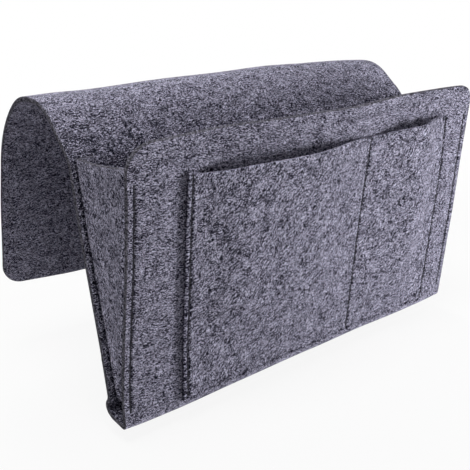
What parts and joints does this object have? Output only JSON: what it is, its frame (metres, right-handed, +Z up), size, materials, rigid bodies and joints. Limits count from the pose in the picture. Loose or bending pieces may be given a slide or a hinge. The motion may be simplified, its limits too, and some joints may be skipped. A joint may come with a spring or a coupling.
{
  "type": "sofa armrest caddy",
  "caption": "Felt sofa armrest caddy: a bent strip drapes over the arm, carrying a wedge-shaped magazine bag with a divided outer pocket, and a tuck flap on the far side.",
  "frame": {"origin": "underside of the arch's level land, half way along the caddy, where it sits on the arm", "axes": "+X along the arm, -Y towards the bag, +Y towards the tuck flap, +Z up"},
  "size_m": [0.305, 0.1872, 0.1864],
  "materials": {
    "grey_felt": "matte melange felt, mid grey with light and dark fibres",
    "dark_thread": "matte near-black sewing thread"
  },
  "bodies": {
    "saddle": {"saddle": "grey_felt"},
    "bag": {"back_panel": "grey_felt", "base_fold": "grey_felt", "left_gusset": "grey_felt", "right_gusset": "grey_felt", "left_back_seam": "dark_thread", "right_back_seam": "dark_thread"},
    "front": {"front_panel": "grey_felt", "outer_pocket": "grey_felt", "left_front_seam": "dark_thread", "right_front_seam": "dark_thread", "pocket_seam": "dark_thread", "divider_seam": "dark_thread"},
    "flap": {"tuck_flap": "grey_felt"}
  },
  "joints": [
    {"name": "bag_swing", "type": "hinge", "parent": "saddle", "child": "bag", "pos_m": [0, -0.04329, -0.02886], "axis": [1, 0, 0], "range_deg": [-60, 12], "stiffness_Nm_per_rad": 0.5, "springref_deg": -6.63},
    {"name": "flap_swing", "type": "hinge", "parent": "saddle", "child": "flap", "pos_m": [0, 0.03647, -0.0207], "axis": [1, 0, 0], "range_deg": [-20, 75], "stiffness_Nm_per_rad": 0.1, "springref_deg": 3.35},
    {"name": "mouth_close", "type": "hinge", "parent": "bag", "child": "front", "pos_m": [0, -0.08923, -0.17668], "axis": [1, 0, 0], "range_deg": [-12, 0], "deforming": ["left_gusset", "right_gusset"]}
  ]
}
